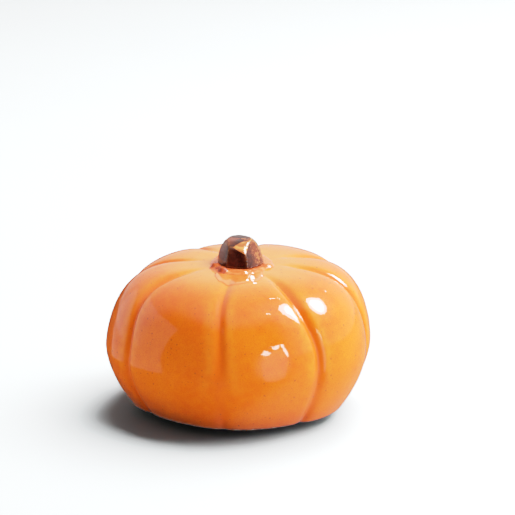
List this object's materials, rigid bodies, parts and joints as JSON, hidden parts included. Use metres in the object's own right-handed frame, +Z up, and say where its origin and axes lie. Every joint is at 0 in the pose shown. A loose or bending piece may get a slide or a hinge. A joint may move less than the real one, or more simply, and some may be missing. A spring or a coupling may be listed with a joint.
{
  "type": "ceramic pumpkin figure",
  "caption": "Small hollow glazed ceramic pumpkin with uneven lobes, a faceted brown stem set in slip, a vented bare foot and felt pads.",
  "frame": {"origin": "on the resting surface, under the middle of the pumpkin's outline", "axes": "+Z up, -Y the front shown to the camera, +X to the right"},
  "size_m": [0.0406, 0.0392, 0.0265],
  "materials": {
    "orange_glaze": "thick glossy orange glaze, deeper where it pools in the grooves",
    "brown_glaze": "glossy dark brown glaze that breaks to amber on the edges",
    "fired_slip": "reddish brown slip under a clear glaze",
    "felt": "dark pressed wool felt"
  },
  "bodies": {
    "root": {"body_shell": "orange_glaze", "stem": "brown_glaze", "stem_slip_joint": "fired_slip", "felt_pad_1": "felt", "felt_pad_2": "felt", "felt_pad_3": "felt"}
  },
  "joints": []
}
